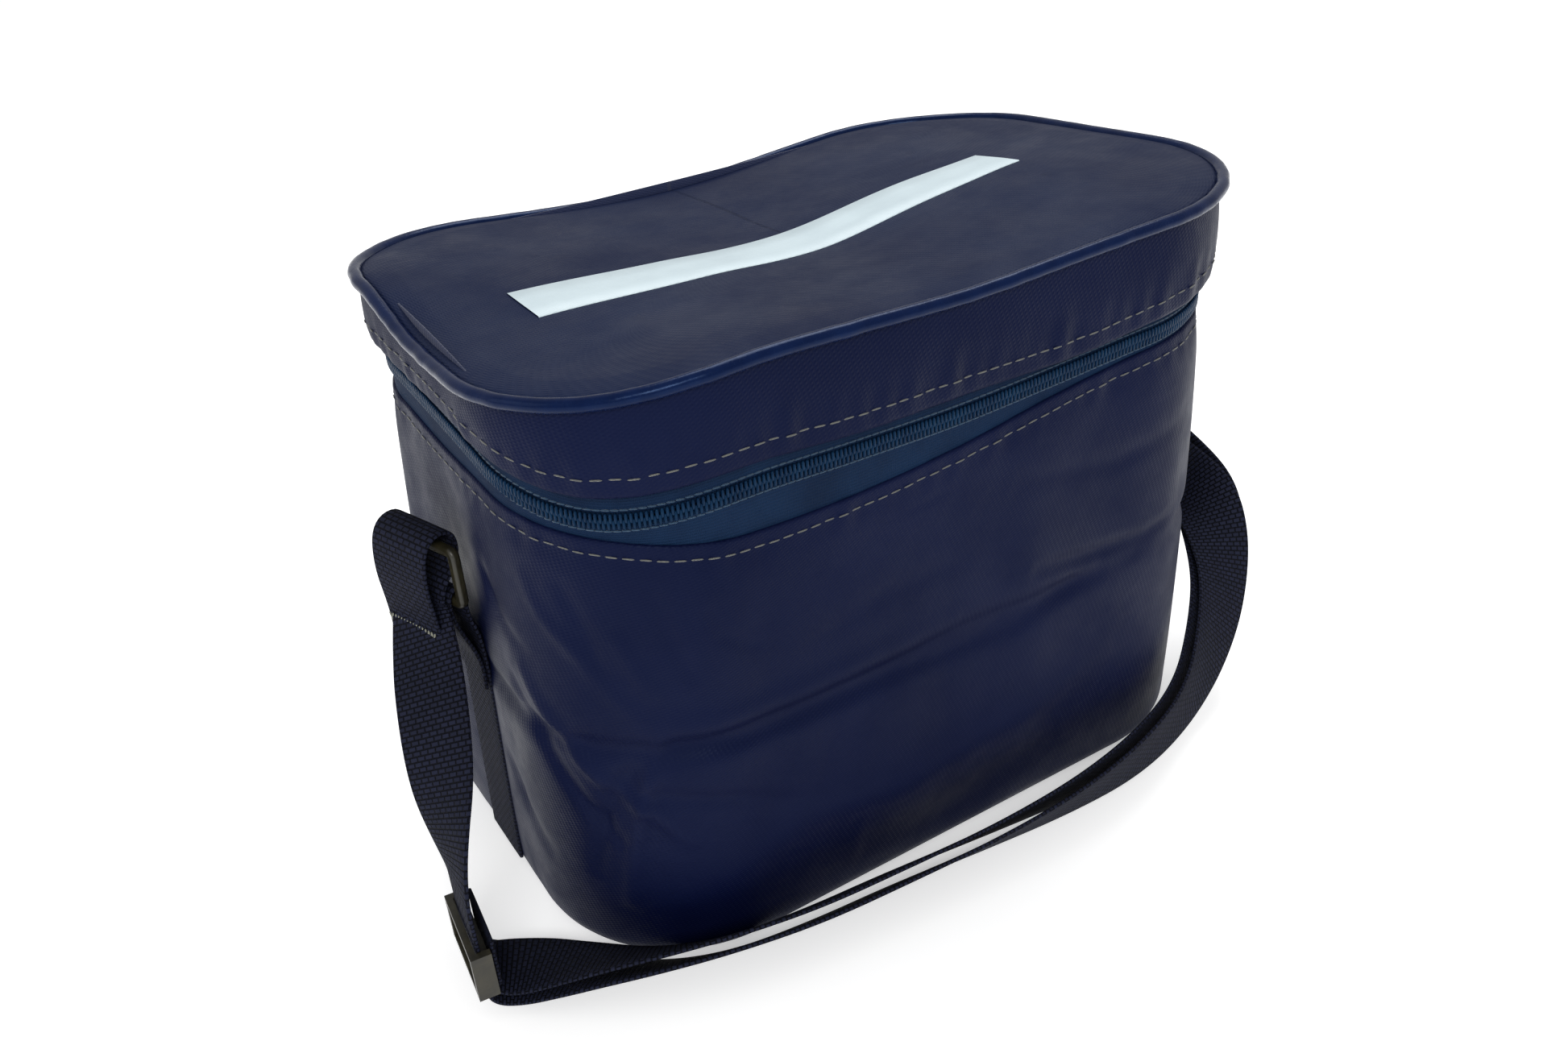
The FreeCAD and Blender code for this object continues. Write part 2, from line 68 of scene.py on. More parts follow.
# ---------------------------------------------------------------- going round the bag
# u is the distance along the rim, from the middle of the rear edge round by the left, front and right.
STRAIGHT_X = RIM_X - CORNER
STRAIGHT_Y = RIM_Y - CORNER
ARC = CORNER * math.pi / 2
SIDES = [STRAIGHT_X, ARC, 2 * STRAIGHT_Y, ARC, 2 * STRAIGHT_X, ARC, 2 * STRAIGHT_Y, ARC, STRAIGHT_X]
KNOTS = np.concatenate([[0.0], np.cumsum(SIDES)])
ROUND = KNOTS[-1]
LEFT_MIDDLE = (KNOTS[2] + KNOTS[3]) / 2
RIGHT_MIDDLE = (KNOTS[6] + KNOTS[7]) / 2


def outline(u, half_x, half_y, radius):
    """x, y and outward direction at u on a rounded rectangle of those half sizes."""
    u = np.mod(u, ROUND)
    centre_x = np.interp(u, KNOTS, [0, -1, -1, -1, -1, 1, 1, 1, 1, 0]) * (half_x - radius)
    centre_y = np.interp(u, KNOTS, [1, 1, 1, -1, -1, -1, -1, 1, 1, 1]) * (half_y - radius)
    angle = np.radians(np.interp(u, KNOTS, [90, 90, 180, 180, 270, 270, 360, 360, 450, 450]))
    out_x = np.cos(angle)
    out_y = np.sin(angle)
    return centre_x + radius * out_x, centre_y + radius * out_y, out_x, out_y


def smooth_round(heights):
    """Smooth closed curve of height against u, through (u, height) pairs given in mm."""
    us = np.array([h[0] for h in heights]) * MM
    zs = np.array([h[1] for h in heights]) * MM
    us = np.concatenate([us - ROUND, us, us + ROUND])
    zs = np.tile(zs, 3)
    slopes = np.gradient(zs, us)

    def height(u):
        u = np.mod(u, ROUND)
        i = np.clip(np.searchsorted(us, u) - 1, 0, len(us) - 2)
        span = us[i + 1] - us[i]
        t = (u - us[i]) / span
        a = (1 + 2 * t) * (1 - t) ** 2
        b = t * (1 - t) ** 2
        c = t * t * (3 - 2 * t)
        d = t * t * (t - 1)
        return a * zs[i] + b * span * slopes[i] + c * zs[i + 1] + d * span * slopes[i + 1]

    return height


# heights of the sagging seams: rear middle, left, front, right
PIPING = smooth_round([(0, 190), (75, 195), (117, 200), (160, 205), (195, 200), (231, 200.5), (273, 204), (316, 210),
                       (353, 209.5), (391, 208.5), (428, 210), (466, 211.5), (508, 212), (550, 210), (586, 206.5),
                       (621, 203), (664, 198), (706, 195)])
SKIRT_EDGE = smooth_round([(0, 176), (75, 177), (117, 180), (160, 184.5), (195, 185), (231, 183), (273, 176.5),
                           (316, 179), (353, 177.5), (391, 177), (428, 177), (466, 179.5), (508, 181.5), (550, 180),
                           (586, 179), (664, 178), (706, 177)])
CHAIN = smooth_round([(0, 172), (75, 172), (117, 174), (160, 175.5), (195, 174.5), (231, 172.5), (273, 167),
                      (316, 170.5), (353, 169.5), (391, 169), (428, 170.5), (466, 172.5), (508, 173), (550, 172),
                      (586, 172), (621, 172), (664, 172), (706, 172)])
RIM = smooth_round([(0, 163), (75, 163), (117, 164), (160, 165), (195, 163.5), (231, 164), (273, 161), (316, 156),
                    (353, 155.5), (391, 158.5), (428, 164), (466, 168), (508, 168.5), (550, 166), (586, 164),
                    (664, 163), (706, 163)])


# ---------------------------------------------------------------- meshes
def new_object(name, verts, faces, material, uvs=None):
    mesh = bpy.data.meshes.new(name)
    mesh.from_pydata([tuple(v) for v in verts], [], faces)
    mesh.polygons.foreach_set("use_smooth", [True] * len(mesh.polygons))
    if uvs is not None:
        layer = mesh.uv_layers.new(name="cloth")
        flat = np.array([uvs[loop.vertex_index] for loop in mesh.loops], float).ravel()
        layer.data.foreach_set("uv", flat)
    mesh.materials.append(material)
    mesh.validate()
    piece = bpy.data.objects.new(name, mesh)
    bpy.context.collection.objects.link(piece)
    return piece


def grid_faces(rows, columns, round_columns, round_rows=False):
    faces = []
    for r in range(rows if round_rows else rows - 1):
        for c in range(columns if round_columns else columns - 1):
            a = r * columns + c
            b = r * columns + (c + 1) % columns
            up = ((r + 1) % rows) * columns
            faces.append((a, b, up + (c + 1) % columns, up + c))
    return faces


def surface(name, rows, material, round_columns=True, round_rows=False, caps=False):
    """Mesh from an array of rows of points; the uv is the real distance along and across, in metres."""
    rows = np.asarray(rows, float)
    n_rows, n_columns, _ = rows.shape
    along = np.linalg.norm(np.diff(rows, axis=1), axis=2).mean(0)
    along = np.concatenate([[0], np.cumsum(along)])
    across = np.linalg.norm(np.diff(rows, axis=0), axis=2).mean(1)
    across = np.concatenate([[0], np.cumsum(across)])
    uvs = [(along[c], across[r]) for r in range(n_rows) for c in range(n_columns)]
    faces = grid_faces(n_rows, n_columns, round_columns, round_rows)
    if caps:
        faces.append(tuple(r * n_columns for r in range(n_rows)))
        faces.append(tuple(r * n_columns + n_columns - 1 for r in reversed(range(n_rows))))
    return new_object(name, rows.reshape(-1, 3), faces, material, uvs)


def capsules(name, centres, directions, normals, length, radius, flat, material):
    """Many short threads or teeth in one mesh, each a six-sided bead with tapered ends."""
    profile = [(-0.5, 0.35), (-0.36, 0.9), (0.0, 1.0), (0.36, 0.9), (0.5, 0.35)]
    sides = 6
    verts = []
    faces = []
    for centre, along, normal in zip(centres, directions, normals):
        along = along / np.linalg.norm(along)
        side = np.cross(along, normal)
        side = side / np.linalg.norm(side)
        lift = np.cross(side, along)
        start = len(verts)
        for place, share in profile:
            for k in range(sides):
                angle = 2 * math.pi * k / sides
                ring = side * (math.cos(angle) * radius * share) + lift * (math.sin(angle) * radius * share * flat)
                verts.append(centre + along * (place * length) + ring)
        for r in range(len(profile) - 1):
            for k in range(sides):
                a = start + r * sides + k
                b = start + r * sides + (k + 1) % sides
                faces.append((a, b, b + sides, a + sides))
        faces.append(tuple(start + k for k in reversed(range(sides))))
        last = start + (len(profile) - 1) * sides
        faces.append(tuple(last + k for k in range(sides)))
    return new_object(name, verts, faces, material)


# ---------------------------------------------------------------- materials
def material(name, colour, roughness, metallic=0.0, sheen=0.0, coat=0.0, specular=0.5, tint=(1, 1, 1)):
    """Material with a Principled shader; returns it with its nodes, links and shader."""
    mat = bpy.data.materials.new(name)
    mat.use_nodes = True
    nodes = mat.node_tree.nodes
    shader = nodes["Principled BSDF"]
    shader.inputs["Base Color"].default_value = (*colour, 1)
    shader.inputs["Roughness"].default_value = roughness
    shader.inputs["Metallic"].default_value = metallic
    shader.inputs["Specular IOR Level"].default_value = specular
    shader.inputs["Specular Tint"].default_value = (*tint, 1)
    shader.inputs["Sheen Weight"].default_value = sheen
    shader.inputs["Coat Weight"].default_value = coat
    shader.inputs["Coat Roughness"].default_value = 0.15
    return mat, nodes, mat.node_tree.links, shader


def texture_place(nodes, links, use_uv):
    source = nodes.new("ShaderNodeTexCoord")
    return source.outputs["UV" if use_uv else "Object"]


def noise(nodes, links, place, scale, detail=3.0, roughness=0.55):
    node = nodes.new("ShaderNodeTexNoise")
    node.inputs["Scale"].default_value = scale
    node.inputs["Detail"].default_value = detail
    node.inputs["Roughness"].default_value = roughness
    links.new(place, node.inputs["Vector"])
    return node.outputs["Fac"]


def ramp(nodes, links, value, stops):
    node = nodes.new("ShaderNodeValToRGB")
    elements = node.color_ramp.elements
    while len(elements) < len(stops):
        elements.new(0.5)
    for element, (position, colour) in zip(elements, stops):
        element.position = position
        element.color = (*colour, 1) if len(colour) == 3 else colour
    links.new(value, node.inputs["Fac"])
    return node.outputs["Color"]


def wave(nodes, links, place, scale, direction, distortion=0.0):
    node = nodes.new("ShaderNodeTexWave")
    node.wave_type = "BANDS"
    node.bands_direction = direction
    node.inputs["Scale"].default_value = scale
    node.inputs["Distortion"].default_value = distortion
    node.inputs["Detail"].default_value = 1.0
    node.inputs["Detail Scale"].default_value = 2.0
    links.new(place, node.inputs["Vector"])
    return node.outputs["Fac"]


def combine(nodes, links, a, b, operation, factor=None):
    node = nodes.new("ShaderNodeMath")
    node.operation = operation
    links.new(a, node.inputs[0])
    if b is not None:
        links.new(b, node.inputs[1])
    if factor is not None:
        node.inputs[1].default_value = factor
    return node.outputs[0]


def bump(nodes, links, shader, height, distance, strength=1.0, after=None):
    node = nodes.new("ShaderNodeBump")
    node.inputs["Strength"].default_value = strength
    node.inputs["Distance"].default_value = distance
    links.new(height, node.inputs["Height"])
    if after is not None:
        links.new(after, node.inputs["Normal"])
    links.new(node.outputs["Normal"], shader.inputs["Normal"])
    return node.outputs["Normal"]


def rotated(nodes, links, place, degrees, scale=(1, 1, 1)):
    node = nodes.new("ShaderNodeMapping")
    node.inputs["Rotation"].default_value = (0, 0, math.radians(degrees))
    node.inputs["Scale"].default_value = scale
    links.new(place, node.inputs["Vector"])
    return node.outputs["Vector"]


def coated_fabric(name, dark, light, roughness, sheen):
    """Navy woven cloth with a thin smooth coating: fine ribs, slow colour drift and rubbed patches."""
    mat, nodes, links, shader = material(name, dark, roughness, sheen=sheen, specular=0.10, tint=(0.55, 0.70, 1.0))
    uv = texture_place(nodes, links, True)
    solid = texture_place(nodes, links, False)
    drift = noise(nodes, links, solid, 14.0, 4.0)
    links.new(ramp(nodes, links, drift, [(0.35, dark), (0.70, light)]), shader.inputs["Base Color"])
    rub = noise(nodes, links, solid, 42.0, 5.0, 0.65)
    low = tuple([roughness - 0.05] * 3)
    high = tuple([roughness + 0.10] * 3)
    links.new(ramp(nodes, links, rub, [(0.38, low), (0.66, high)]), shader.inputs["Roughness"])
    ribs = wave(nodes, links, rotated(nodes, links, uv, 68), 330.0, "X", 0.25)
    warp = wave(nodes, links, rotated(nodes, links, uv, -22), 210.0, "X", 0.25)
    weave = combine(nodes, links, ribs, warp, "MULTIPLY")
    first = bump(nodes, links, shader, weave, 0.00016, 0.55)
    soft = noise(nodes, links, solid, 120.0, 3.0)
    bump(nodes, links, shader, soft, 0.0007, 0.35, first)
    return mat


WEAVE_SCALE = 200.0


def webbing_material(name, dark, light, rows=1.7 * MM, column=2.8 * MM):
    """Plain woven webbing: staggered short floats in rows across the width."""
    mat, nodes, links, shader = material(name, dark, 0.82, specular=0.12)
    uv = texture_place(nodes, links, True)
    brick = nodes.new("ShaderNodeTexBrick")
    brick.offset = 0.5
    brick.inputs["Scale"].default_value = WEAVE_SCALE
    brick.inputs["Brick Width"].default_value = column * WEAVE_SCALE
    brick.inputs["Row Height"].default_value = rows * WEAVE_SCALE
    brick.inputs["Mortar Size"].default_value = 0.38 * MM * WEAVE_SCALE
    brick.inputs["Mortar Smooth"].default_value = 1.0
    brick.inputs["Color1"].default_value = (*light, 1)
    brick.inputs["Color2"].default_value = (*[c * 0.75 for c in light], 1)
    brick.inputs["Mortar"].default_value = (*[c * 0.45 for c in dark], 1)
    turned = rotated(nodes, links, uv, 90)
    links.new(turned, brick.inputs["Vector"])
    links.new(brick.outputs["Color"], shader.inputs["Base Color"])
    fuzz = noise(nodes, links, uv, 2600.0, 2.0)
    lows = combine(nodes, links, brick.outputs["Fac"], None, "MULTIPLY", -1.0)
    first = bump(nodes, links, shader, lows, 0.0007, 1.0)
    bump(nodes, links, shader, fuzz, 0.00015, 0.5, first)
    return mat


def plastic_material(name, dark, light, roughness, coat=0.0, specular=0.5, tint=(1, 1, 1)):
    mat, nodes, links, shader = material(name, dark, roughness, coat=coat, specular=specular, tint=tint)
    solid = texture_place(nodes, links, False)
    drift = noise(nodes, links, solid, 160.0, 4.0)
    links.new(ramp(nodes, links, drift, [(0.35, dark), (0.75, light)]), shader.inputs["Base Color"])
    grain = noise(nodes, links, solid, 900.0, 3.0)
    low = tuple([roughness - 0.06] * 3)
    high = tuple([roughness + 0.12] * 3)
    links.new(ramp(nodes, links, grain, [(0.3, low), (0.7, high)]), shader.inputs["Roughness"])
    bump(nodes, links, shader, grain, 0.00008, 0.4)
    return mat


def thread_material(name, dark, light):
    mat, nodes, links, shader = material(name, dark, 0.75, sheen=0.2, specular=0.3)
    solid = texture_place(nodes, links, False)
    twist = wave(nodes, links, solid, 1500.0, "DIAGONAL", 1.0)
    links.new(ramp(nodes, links, twist, [(0.2, dark), (0.8, light)]), shader.inputs["Base Color"])
    bump(nodes, links, shader, twist, 0.00012, 0.7)
    return mat


def tape_material(name, dark, light):
    """Zip tape: close woven ribs running along the tape, a little fuzzy."""
    mat, nodes, links, shader = material(name, dark, 0.7, specular=0.1)
    uv = texture_place(nodes, links, True)
    solid = texture_place(nodes, links, False)
    drift = noise(nodes, links, solid, 60.0, 4.0)
    links.new(ramp(nodes, links, drift, [(0.3, dark), (0.75, light)]), shader.inputs["Base Color"])
    ribs = wave(nodes, links, uv, 420.0, "Y", 0.5)
    cross = wave(nodes, links, uv, 620.0, "X", 0.5)
    weave = combine(nodes, links, ribs, cross, "MULTIPLY")
    bump(nodes, links, shader, weave, 0.00025, 0.8)
    return mat


def foam_material(name, dark, light):
    mat, nodes, links, shader = material(name, light, 0.9, specular=0.2)
    solid = texture_place(nodes, links, False)
    cells = nodes.new("ShaderNodeTexVoronoi")
    cells.inputs["Scale"].default_value = 900.0
    links.new(solid, cells.inputs["Vector"])
    links.new(ramp(nodes, links, cells.outputs["Distance"], [(0.05, dark), (0.5, light)]), shader.inputs["Base Color"])
    bump(nodes, links, shader, cells.outputs["Distance"], 0.0003, 0.7)
    return mat


def lining_material(name, dark, light):
    """Heat-sealed silvery grey film with a faint quilted emboss."""
    mat, nodes, links, shader = material(name, light, 0.38, metallic=0.25, specular=0.5)
    solid = texture_place(nodes, links, False)
    drift = noise(nodes, links, solid, 30.0, 4.0)
    links.new(ramp(nodes, links, drift, [(0.3, dark), (0.7, light)]), shader.inputs["Base Color"])
    wrinkle = noise(nodes, links, solid, 70.0, 6.0, 0.6)
    bump(nodes, links, shader, wrinkle, 0.0015, 0.5)
    return mat


def band_material(name, dark, light):
    mat, nodes, links, shader = material(name, light, 0.42, specular=0.5)
    uv = texture_place(nodes, links, True)
    solid = texture_place(nodes, links, False)
    drift = noise(nodes, links, solid, 40.0, 4.0)
    links.new(ramp(nodes, links, drift, [(0.25, dark), (0.6, light)]), shader.inputs["Base Color"])
    ribs = wave(nodes, links, rotated(nodes, links, uv, 68), 330.0, "X", 0.25)
    bump(nodes, links, shader, ribs, 0.00008, 0.4)
    return mat


NAVY = coated_fabric("navy_coated_cloth", (0.0020, 0.0038, 0.0230), (0.0036, 0.0060, 0.0300), 0.46, 0.0)
# The lid's top is the same navy cloth but painted lighter: painted light, where the top faces the lamps above.
LID_NAVY_PAINTED_LIGHT = coated_fabric("lid_coated_cloth_painted_lit", (0.0030, 0.0066, 0.0300), (0.0075, 0.0135, 0.0420), 0.50, 0.0)
PIPE_BLUE = plastic_material("piping_gloss", (0.0012, 0.0050, 0.0300), (0.0024, 0.0085, 0.0430), 0.20,
                             specular=0.22, tint=(0.35, 0.55, 1.0))
WEBBING = webbing_material("navy_webbing", (0.0020, 0.0026, 0.0085), (0.0125, 0.0150, 0.0330))
TAPE = tape_material("zip_tape_weave", (0.0020, 0.0110, 0.0360), (0.0040, 0.0190, 0.0560))
COIL = plastic_material("zip_coil_nylon", (0.0014, 0.0110, 0.0360), (0.0034, 0.0210, 0.0560), 0.34,
                        specular=0.16, tint=(0.40, 0.70, 1.0))
THREAD = thread_material("khaki_thread", (0.060, 0.066, 0.072), (0.170, 0.170, 0.145))
ZIP_THREAD = thread_material("zip_thread", (0.010, 0.035, 0.075), (0.022, 0.065, 0.120))
TACK = thread_material("bar_tack_thread", (0.13, 0.14, 0.12), (0.30, 0.30, 0.23))
PLASTIC = plastic_material("moulded_black", (0.010, 0.009, 0.005), (0.030, 0.026, 0.012), 0.34)
METAL = plastic_material("painted_slider", (0.012, 0.018, 0.045), (0.020, 0.030, 0.070), 0.30, coat=0.3)
FOAM = foam_material("closed_cell_foam", (0.45, 0.46, 0.48), (0.74, 0.75, 0.76))
LINING = lining_material("lining_film", (0.42, 0.44, 0.46), (0.62, 0.64, 0.66))
BINDING = coated_fabric("binding_cloth", (0.011, 0.016, 0.048), (0.016, 0.022, 0.058), 0.60, 0.2)
BOARD = plastic_material("board_grey", (0.045, 0.047, 0.050), (0.070, 0.072, 0.076), 0.6)
BAND = band_material("pale_band", (0.44, 0.53, 0.57), (0.52, 0.62, 0.66))

# ---------------------------------------------------------------- camera
camera_data = bpy.data.cameras.new("camera")
camera_data.sensor_width = 36.0
camera_data.lens = 32.13
camera_data.clip_start = 0.01
camera = bpy.data.objects.new("camera", camera_data)
bpy.context.collection.objects.link(camera)
side = Vector((0.84297, -0.53552, -0.05362))
above = Vector((0.32108, 0.42111, 0.84829))
back = Vector((-0.43162, -0.73209, 0.52713))
place = Vector((-0.2319, -0.3762, 0.3621))
camera.matrix_world = Matrix([[side[i], above[i], back[i], place[i]] for i in range(3)] + [[0, 0, 0, 1]])
bpy.context.scene.camera = camera


# ---------------------------------------------------------------- webbing routes
def vec(x, y, z):
    return np.array([x, y, z], float) * MM


def unit(v):
    v = np.asarray(v, float)
    return v / np.linalg.norm(v, axis=-1, keepdims=True)


def smooth_route(route, samples=10):
    """Points and across directions along a smooth curve that follows (point, across) pairs."""
    control = np.array([np.concatenate([point, unit(across)]) for point, across in route])
    middle = (control[1:] + control[:-1]) / 2
    pieces = [control[:1]]
    for i in range(1, len(control) - 1):
        t = np.linspace(0, 1, samples, endpoint=False)[:, None]
        start = middle[i - 1]
        end = middle[i]
        pieces.append((1 - t) ** 2 * start + 2 * t * (1 - t) * control[i] + t * t * end)
    pieces.append(middle[-1:])
    pieces.append(control[-1:])
    curve = np.concatenate(pieces)
    return curve[:, :3], unit(curve[:, 3:])


def resample(points, acrosses, step, rounds=2):
    """The same line with even spacing, its corners eased."""
    distance = np.concatenate([[0], np.cumsum(np.linalg.norm(np.diff(points, axis=0), axis=1))])
    places = np.linspace(0, distance[-1], max(4, int(distance[-1] / step)))
    line = np.stack([np.interp(places, distance, points[:, k]) for k in range(3)], 1)
    wide = np.stack([np.interp(places, distance, acrosses[:, k]) for k in range(3)], 1)
    for _ in range(rounds):
        line[1:-1] = (line[:-2] + 2 * line[1:-1] + line[2:]) / 4
        wide[1:-1] = (wide[:-2] + 2 * wide[1:-1] + wide[2:]) / 4
    along = unit(np.gradient(line, axis=0))
    wide = unit(wide - (wide * along).sum(1, keepdims=True) * along)
    return line, along, wide, np.cross(along, wide)


WIDTH = 25.0 * MM
THICK = 1.4 * MM
STEP = 1.6 * MM
LAYER = 2.2 * MM
SINGLE_LOW = 33.4
SINGLE_STRAIGHT = 55.4
EXIT_REACH = 28 * MM
PROFILE = [(-0.500, 0.0), (-0.494, 0.30), (-0.480, 0.46), (-0.25, 0.5), (0.0, 0.5), (0.25, 0.5), (0.480, 0.46),
           (0.494, 0.30), (0.500, 0.0), (0.494, -0.30), (0.480, -0.46), (0.25, -0.5), (0.0, -0.5), (-0.25, -0.5),
           (-0.480, -0.46), (-0.494, -0.30)]


def ribbon(name, points, acrosses, material, step=STEP):
    """Webbing with soft edges along the points."""
    line, along, wide, face = resample(points, acrosses, step)
    rows = []
    for w, t in PROFILE:
        rows.append(line + wide * (w * WIDTH) + face * (t * THICK))
    return surface(name, rows, material, round_columns=False, round_rows=True, caps=True)


RING_X = 141.153
RING_TOP = 135.0
YAW = math.radians(20)


def ring_outward(s):
    """Direction out of a ring's plane; s is -1 on the left and 1 on the right."""
    return np.array([s * math.cos(YAW), -math.sin(YAW), 0])


def ring_along(s):
    """Direction of a ring's bars."""
    return np.array([-s * math.sin(YAW), -math.cos(YAW), 0])


def ring_point(s, out, height):
    """Point out from the ring's plane and at a height, both in mm."""
    return vec(s * RING_X, 0, height) + ring_outward(s) * out * MM


def strap_loop(s):
    """Route round the ring's upper bar, from the outer leg to the inner one."""
    shape = [(8.6, -24), (10.4, -8), (7.5, 6.5), (-3.8, 6.5), (-4.2, -5), (4.8, -12), (6.2, -24)]
    return [(ring_point(s, out, RING_TOP + above_bar), ring_along(s)) for out, above_bar in shape]


def strap_lines():
    """Single run from the left ring to the adjuster, middle of the doubled run, and the turn on the right ring."""
    flat = unit([-0.10, -1, 0])
    face = np.array([flat[1], -flat[0], 0])
    near = vec(-165, -57, 0)
    layer = face * LAYER
    left = strap_loop(-1)
    tail = [(left[0][0] - vec(0, 0, 12), left[0][1])]
    hanging = [(vec(-158, -33, 86), [0.66, -0.75, 0]),
               (near + layer + vec(0, 0, SINGLE_STRAIGHT), flat),
               (near + layer + vec(0, 0, SINGLE_LOW), flat)]
    single = smooth_route(tail + left + hanging)
    floor = [(near + vec(0, 0, SINGLE_LOW), flat), (near + vec(0, 0, 15), flat), (near + vec(0, 0, 8), flat),
             (vec(-154, -61.5, 5.5), [-0.20, -0.97, 0.08]), (vec(-140, -73, 8.5), [-0.28, -0.85, 0.35]),
             (vec(-121, -87, 11.8), [-0.25, -0.70, 0.65]), (vec(-97, -96.5, 12.6), [-0.20, -0.62, 0.76]),
             (vec(-68, -101.5, 12.4), [-0.15, -0.66, 0.74]), (vec(-34, -104, 12.6), [-0.10, -0.66, 0.75]),
             (vec(2, -107.5, 13.0), [-0.05, -0.60, 0.80]), (vec(38, -109, 13.6), [0, -0.45, 0.90]),
             (vec(72, -106.5, 14.6), [0, -0.20, 0.98]), (vec(101, -98.5, 17.5), [-0.05, 0, 1]),
             (vec(125, -87, 27), [-0.25, 0.30, 0.90]), (vec(145, -73, 41), [-0.30, 0.55, 0.75]),
             (vec(157, -56, 59), [-0.20, 0.90, 0.50]), (vec(160, -34, 80), [0.10, 0.95, 0.15]),
             (vec(153, -11, 99), [0.30, 0.95, 0])]
    middle = smooth_route(floor)
    turning = smooth_route([(point, -across) for point, across in reversed(strap_loop(1))])
    return single, middle, turning


def strap():
    """One length of webbing from ring to ring, doubled beyond the adjuster."""
    single, middle, turning = strap_lines()
    line, along, wide, face = resample(*middle, STEP)
    outer = line + face * LAYER
    inner = line - face * LAYER
    points = np.concatenate([single[0][:-1], outer, turning[0], inner[::-1]])
    acrosses = np.concatenate([single[1][:-1], wide, turning[1], wide[::-1]])
    piece = ribbon("strap", points, acrosses, WEBBING)
    ring_bar = ring_point(-1, 0, RING_TOP)
    start = np.argmax(np.linalg.norm(single[0] - ring_bar, axis=1) < EXIT_REACH)
    centre = np.concatenate([single[0][start:-1], line, turning[0][: len(turning[0]) * 3 // 4]])
    for _ in range(30):
        centre[1:-1] = (centre[:-2] + 2 * centre[1:-1] + centre[2:]) / 4
    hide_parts("shoulder_strap")
    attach(piece, "bag")


strap()


def side_webbing(name, s):
    """Webbing sewn up the side, folded over the ring's lower bar and sewn back down to itself."""
    across = np.array([0, -1.0, 0])

    def on_side(stand_off, z):
        return vec(s * (RIM_X / MM + 4 * (1 - z / (RIM_Z / MM)) + stand_off), 0, z), across

    def round_bar(out, z):
        return ring_point(s, out, z), ring_along(s)

    route = [on_side(1.0, 4), on_side(1.0, 52), on_side(1.0, 98), round_bar(-3.1, 110), round_bar(-3.1, 120.6),
             round_bar(3.1, 120.6), round_bar(3.1, 110), on_side(2.7, 92), on_side(2.7, 80)]
    points, acrosses = smooth_route(route, 14)
    piece = ribbon(name, points, acrosses, WEBBING, 1.2 * MM)
    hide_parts(name)
    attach(piece, "bag")


side_webbing("side_webbing_left", -1)
side_webbing("side_webbing_right", 1)


# ---------------------------------------------------------------- shapes of the cloth
def u_at(x, y):
    """Distance round the rim of the outline point nearest to x, y (in mm)."""
    us = np.linspace(0, ROUND, 3000, endpoint=False)
    px, py, ox, oy = outline(us, RIM_X, RIM_Y, CORNER)
    return us[np.argmin((px - x * MM) ** 2 + (py - y * MM) ** 2)]


def bell(value):
    """Smooth hump, 1 at 0 and near nothing past 2."""
    return np.exp(-value * value)


def line_distance(u, z, line):
    """Distance from each (u, z) to the polyline, and how far along it that is, from 0 to 1."""
    best = np.full(np.broadcast(u, z).shape, 9.0)
    share = np.zeros_like(best)
    total = len(line) - 1
    for i in range(total):
        a = np.array(line[i])
        b = np.array(line[i + 1])
        run = b - a
        t = np.clip(((u - a[0]) * run[0] + (z - a[1]) * run[1]) / (run @ run), 0, 1)
        du = u - a[0] - t * run[0]
        dz = z - a[1] - t * run[1]
        distance = np.hypot(du, dz)
        near = distance < best
        best = np.where(near, distance, best)
        share = np.where(near, (i + t) / total, share)
    return best, share


